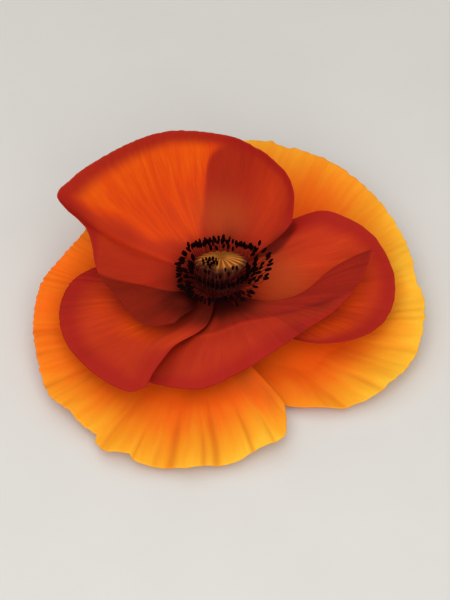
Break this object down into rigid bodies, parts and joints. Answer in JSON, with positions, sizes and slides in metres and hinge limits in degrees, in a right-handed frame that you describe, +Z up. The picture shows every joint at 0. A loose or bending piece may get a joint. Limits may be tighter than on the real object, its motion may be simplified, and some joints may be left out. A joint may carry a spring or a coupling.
{
  "type": "poppy flower",
  "caption": "Single poppy flower picked off its stalk: broad outer petals spread flat, inner petals cupped and folded round a ring of dark stamens and a rayed seed disc.",
  "frame": {"origin": "middle of the bounding box's lowest face, on the surface that the flower lies on", "axes": "+Z up out of the face of the flower, -Y towards the front where the two outer petals meet, +X to the right"},
  "size_m": [0.0976, 0.1014, 0.0382],
  "materials": {
    "outer_petal": "soft, slightly translucent petal, yellow-orange at the rim and deep orange inside",
    "inner_petal": "soft, slightly translucent petal, red-orange with a crimson margin",
    "cupped_petal": "soft, streaked orange petal with a crimson margin",
    "green_stalk": "matt, faintly hairy green stalk",
    "seed_disc": "velvety ochre disc with pale rays",
    "stamen": "near-black maroon anthers on purple-red filaments"
  },
  "bodies": {
    "root": {"outer_right": "outer_petal", "outer_left": "outer_petal", "inner_right": "inner_petal", "inner_front": "inner_petal", "inner_left": "inner_petal", "inner_back": "cupped_petal", "receptacle": "green_stalk", "pistil": "seed_disc", "stamens": "stamen"}
  },
  "joints": []
}
